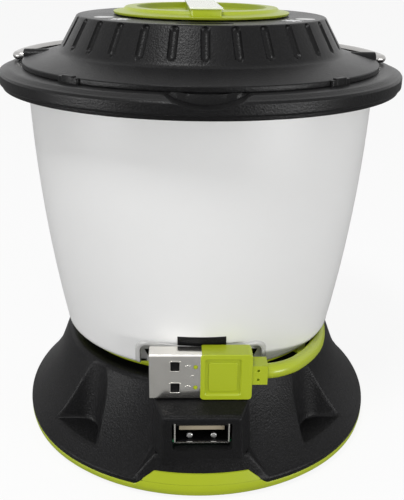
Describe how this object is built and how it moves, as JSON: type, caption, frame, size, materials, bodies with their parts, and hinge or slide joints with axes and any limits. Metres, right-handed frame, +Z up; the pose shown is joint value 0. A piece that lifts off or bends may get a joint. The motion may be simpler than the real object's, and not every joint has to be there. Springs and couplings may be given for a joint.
{
  "type": "camping lantern",
  "caption": "Rechargeable camping lantern with satin diffuser, rotary dimmer, wire bail, USB socket and a stowed USB lead.",
  "frame": {"origin": "centre of the plane that the rubber feet stand on", "axes": "+Z up along the lantern's axis; the USB socket faces -Y"},
  "size_m": [0.1, 0.1003, 0.1112],
  "materials": {
    "black_plastic": "fine grained satin",
    "black_rubber": "matt",
    "lime_plastic": "satin",
    "steel": "plain",
    "nickel": "bright nickel plate",
    "gold": "gold flash",
    "white_plastic": "satin",
    "satin_diffuser": "translucent satin",
    "cell_wrap": "shrink wrap",
    "board": "solder mask",
    "led": "phosphor",
    "wire": "insulation",
    "pot": "moulded",
    "window": "clear"
  },
  "bodies": {
    "body": {"base_plate": "black_plastic", "rubber_feet": "black_rubber", "base_screws": "steel", "base_band": "lime_plastic", "base_shell": "black_plastic", "battery_cells": "cell_wrap", "battery_tray": "black_plastic", "cell_tabs": "nickel", "power_board": "board", "charge_chip": "black_plastic", "socket_shell": "nickel", "socket_tongue": "white_plastic", "socket_contacts": "gold", "lead_gland": "lime_plastic", "charge_lead": "lime_plastic", "plug_shell": "nickel", "plug_insert": "white_plastic", "plug_contacts": "gold", "plug_grip": "lime_plastic", "plug_relief": "lime_plastic", "lower_seal": "black_rubber", "diffuser": "satin_diffuser", "badge": "black_plastic", "lamp_floor": "white_plastic", "floor_screws": "steel", "light_column": "white_plastic", "led_board_front": "white_plastic", "led_board_back": "white_plastic", "leds": "led", "column_cap": "white_plastic", "harness": "wire", "upper_seal": "black_rubber", "lid_ring": "black_plastic", "snap_tabs": "black_plastic", "ring_screws": "steel", "lid_cover": "black_plastic", "control_board": "board", "board_screws": "steel", "dimmer_pot": "pot", "battery_window": "window", "battery_lights": "led"},
    "bail": {"bail_handle": "nickel"},
    "dial": {"dial_shaft": "steel", "dial_knob": "lime_plastic", "dial_insert": "window"}
  },
  "joints": [
    {"name": "bail_swing", "type": "hinge", "parent": "body", "child": "bail", "pos_m": [0, 0, 0.0979], "axis": [1, 0, 0], "range_deg": [0, 180]},
    {"name": "dial_turn", "type": "hinge", "parent": "body", "child": "dial", "pos_m": [0, 0, 0.1086], "axis": [0, 0, 1], "range_deg": [-130, 130]}
  ]
}
